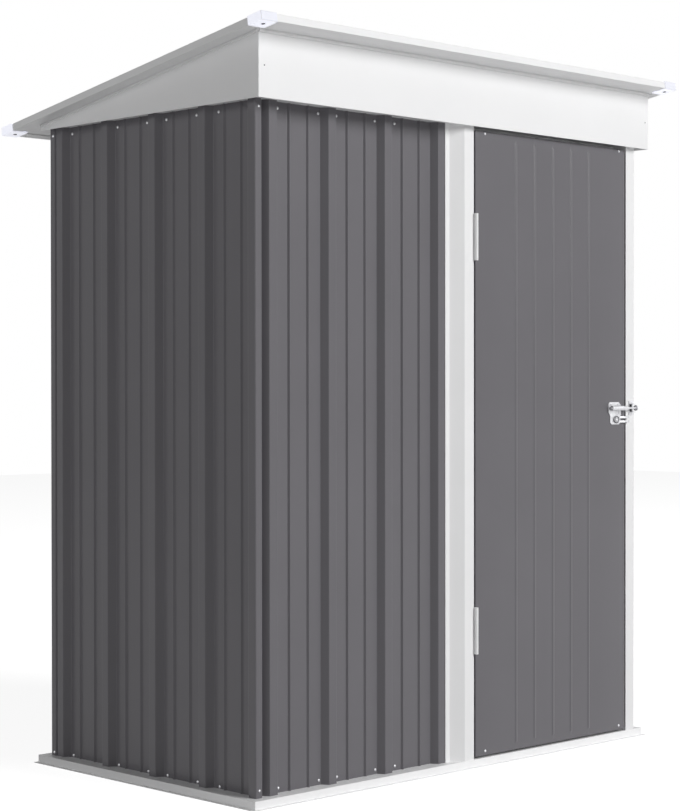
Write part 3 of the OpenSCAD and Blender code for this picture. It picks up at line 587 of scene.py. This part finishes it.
# %% Spin a screw head
def heads(places, outward, radius=0.0038, height=0.0022):
    """Ring q of a head has radius r cos q and height h (1/4 + 3/4 sin q), over a short straight rim, and every
    ring is carried to each screw's place and turned to face outward."""
    around = 14
    places = np.atleast_2d(np.asarray(places, float))
    out = np.asarray(outward, float)/np.linalg.norm(outward)
    side = np.cross(out, UP if abs(out[2]) < 0.9 else axis(1, 0, 0))
    side /= np.linalg.norm(side)
    other = np.cross(out, side)
    a = np.linspace(0, 2*pi, around, endpoint=False)
    q = np.linspace(0, 0.86, 4)*pi/2
    ring_r = np.concatenate([[radius], radius*np.cos(q)])
    ring_h = np.concatenate([[-0.0006], height*(0.25 + 0.75*np.sin(q))])
    circle = np.cos(a)[:, None]*side + np.sin(a)[:, None]*other
    rings = places[:, None, None] + ring_r[:, None, None]*circle + ring_h[:, None, None]*out
    k, j = len(places), len(ring_r)
    index = np.arange(k*j*around).reshape(k, j, around)
    lo, hi = index[:, :-1], index[:, 1:]
    faces = np.stack([lo, np.roll(lo, -1, 2), np.roll(hi, -1, 2), hi], -1).reshape(-1, 4)
    return rings.reshape(-1, 3), faces, list(index[:, -1]) + list(index[:, 0, ::-1])

# %% Screws of the walls
def on_wall(side, s, deep, z):
    """Points at distances s along a wall, at a depth behind the rib tops and at heights z."""
    origin, along, inward = side_of[side]
    s, z = (v.ravel() for v in np.meshgrid(s, z))
    return origin + s[:, None]*along + deep*inward + z[:, None]*UP

def screws(place, shells, body="shed", finish=screw_steel):
    piece("screws_" + place, shells, body, finish, smooth=50)

FRONT = (0, -1, 0)
side_s = [0.071, 0.198, 0.260, 0.378, 0.453, 0.567, 0.648]
for side in ("left", "right"):
    out = -side_of[side][2]
    screws(side + "_wall", [heads(on_wall(side, side_s, DEPTH, [0.026, 1.616]), out),
                            heads(on_wall(side, [0.013], 0, [0.029, 1.614]), out)])
front_s = [0.084, 0.214, 0.273, 0.403, 0.471]
screws("front_wall", [heads(on_wall("front", front_s, DEPTH, [0.032, 1.618]), FRONT),
                      heads(on_wall("front", [0.010], 0, [0.0386, 1.614]), FRONT)])
BESIDE_RIB, CORNER_FREE = 0.031, 0.05
rear_s = (REAR_FIRST + np.arange(7)*PITCH)[:, None] + np.array([-BESIDE_RIB, BESIDE_RIB])
rear_s = rear_s[(rear_s > CORNER_FREE) & (rear_s < WIDE - CORNER_FREE)]
screws("back_wall", [heads(on_wall("rear", rear_s, DEPTH, [0.035, 1.617]), (0, 1, 0))])

# %% Screws of the fascia, the caps, the latch and the door
screws("fascia", [heads([[-0.6996, face_y, 1.701], [0.704, face_y, 1.700]], FRONT, 0.0018, 0.0010)],
       finish=grey_paint)
cap_boxes = [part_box("roof_cap_" + corner) for corner in CAP_CORNERS]
under_caps = [[(low.x + high.x)/2, low.y + 0.0227, low.z + 0.0038] for low, high in cap_boxes]
screws("caps", [heads(under_caps, -roof_z, 0.0050, 0.0014)], finish=dark_screw)
latch_row = BOLT_Z + 0.0115
screws("latch", [heads([[ring[0], PLATE_Y - FLAP_OUT, ring[2]], [plate_x + 0.010, PLATE_Y, latch_row],
                        [plate_x + 0.040, PLATE_Y, latch_row]], FRONT, 0.0032, 0.0014)], "door", bright_zinc)
screws("door", [heads([[x, DOOR_Y, z] for x in (0.0686, 0.6140) for z in (0.0379, 1.615)], FRONT, 0.0036)], "door")

# %% [markdown]
# ## Floor, sky and lamps
# The shed stands in a white studio. Only the camera and shiny surfaces see the white; what lights the shed is two
# big soft lamps, one to the right of the camera for the front and a weaker one behind on the left for the side.

# %% A floor that keeps the shadow
floor_mesh = bpy.data.meshes.new("studio_floor")
floor_mesh.from_pydata([(-15, -15, 0), (15, -15, 0), (15, 15, 0), (-15, 15, 0)], [], [(0, 1, 2, 3)])
floor = bpy.data.objects.new("studio_floor", floor_mesh)
bpy.context.scene.collection.objects.link(floor)
pale = bpy.data.materials.new("studio_floor_white")
pale.use_nodes = True
tree = pale.node_tree
shader = tree.nodes["Principled BSDF"]
shader.inputs["Base Color"].default_value = (0.8, 0.8, 0.8, 1)
shader.inputs["Roughness"].default_value = 0.9
shader.inputs["Specular IOR Level"].default_value = 0.0
shader.inputs["Emission Color"].default_value = (1, 1, 1, 1)

def seen_directly(tree, low, high):
    """low for light that falls on things, high for what the camera and shiny surfaces see."""
    path = tree.nodes.new("ShaderNodeLightPath")
    total = path.outputs["Is Camera Ray"]
    for more in ("Is Glossy Ray", "Is Transmission Ray"):
        add = tree.nodes.new("ShaderNodeMath")
        add.operation = "ADD"
        add.use_clamp = True
        tree.links.new(total, add.inputs[0])
        tree.links.new(path.outputs[more], add.inputs[1])
        total = add.outputs[0]
    return spread(tree, total, low, high, 0, 1)

tree.links.new(seen_directly(tree, 0.0, 0.86), shader.inputs["Emission Strength"])
floor_mesh.materials.append(pale)
print("floor:", *floor.dimensions[:2], "m")

# %% The sky
world = bpy.data.worlds.new("studio")
bpy.context.scene.world = world
world.use_nodes = True
tree = world.node_tree
sky = tree.nodes["Background"]
sky.inputs["Color"].default_value = (1, 1, 1, 1)
tree.links.new(seen_directly(tree, 0.05, 1.0), sky.inputs["Strength"])

# %% The lamps
def lamp(name, place, aim, size, power):
    """A round area lamp at place, turned so that its light leaves towards aim."""
    data = bpy.data.lights.new(name, "AREA")
    data.shape, data.size, data.energy = "DISK", size, power
    made = bpy.data.objects.new(name, data)
    bpy.context.scene.collection.objects.link(made)
    made.location = place
    made.rotation_euler = (Vector(aim) - Vector(place)).to_track_quat("-Z", "Y").to_euler()
    print(f"{name}: {power} W from a disk {size} m wide")

lamp("front_lamp", (3.8, -12.8, 7.2), (0, 0, 0.9), 8.5, 1680)
lamp("side_lamp", (-9.9, 0.3, 2.8), (0, 0, 0.9), 6.0, 184)
bpy.context.scene.view_settings.view_transform = "Standard"
